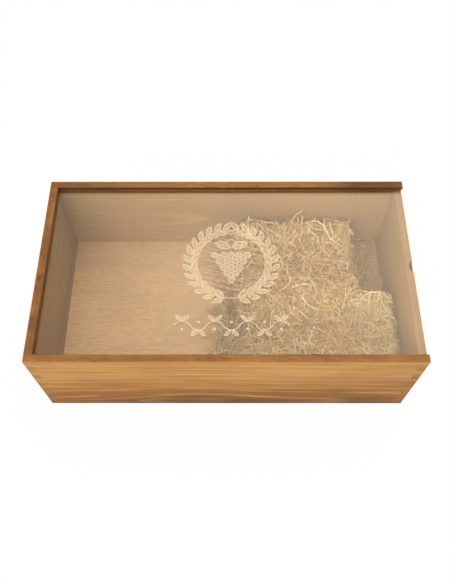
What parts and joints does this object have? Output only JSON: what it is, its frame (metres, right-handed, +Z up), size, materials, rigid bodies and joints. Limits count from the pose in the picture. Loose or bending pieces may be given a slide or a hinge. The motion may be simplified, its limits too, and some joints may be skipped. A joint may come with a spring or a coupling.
{
  "type": "wooden wine box",
  "caption": "Finger-jointed wooden gift box for wine bottles, packed with wood wool, with a clear sheet lid that slides out over a lowered end wall.",
  "frame": {"origin": "centre of the underside, on the surface the box stands on", "axes": "+X along the box's length, the way the lid slides out; +Y from the front long wall to the back one; +Z up"},
  "size_m": [0.345, 0.191, 0.107],
  "materials": {
    "long_wall_wood": "stained softwood, straight grain, wiped oil, satin",
    "end_wall_wood": "stained softwood, straight grain, wiped oil, satin",
    "panel_wood": "plain thin board, matte",
    "clear_acrylic": "clear polished sheet with a frosted etching",
    "wood_wool": "fine curled straw-coloured shavings"
  },
  "bodies": {
    "box": {"front_wall": "long_wall_wood", "back_wall": "long_wall_wood", "left_end_wall": "end_wall_wood", "right_end_wall": "end_wall_wood", "bottom_panel": "panel_wood", "wood_wool": "wood_wool"},
    "lid": {"lid": "clear_acrylic"}
  },
  "joints": [
    {"name": "lid_slide", "type": "slide", "parent": "box", "child": "lid", "axis": [1, 0, 0], "range_m": [0, 0.345]}
  ]
}
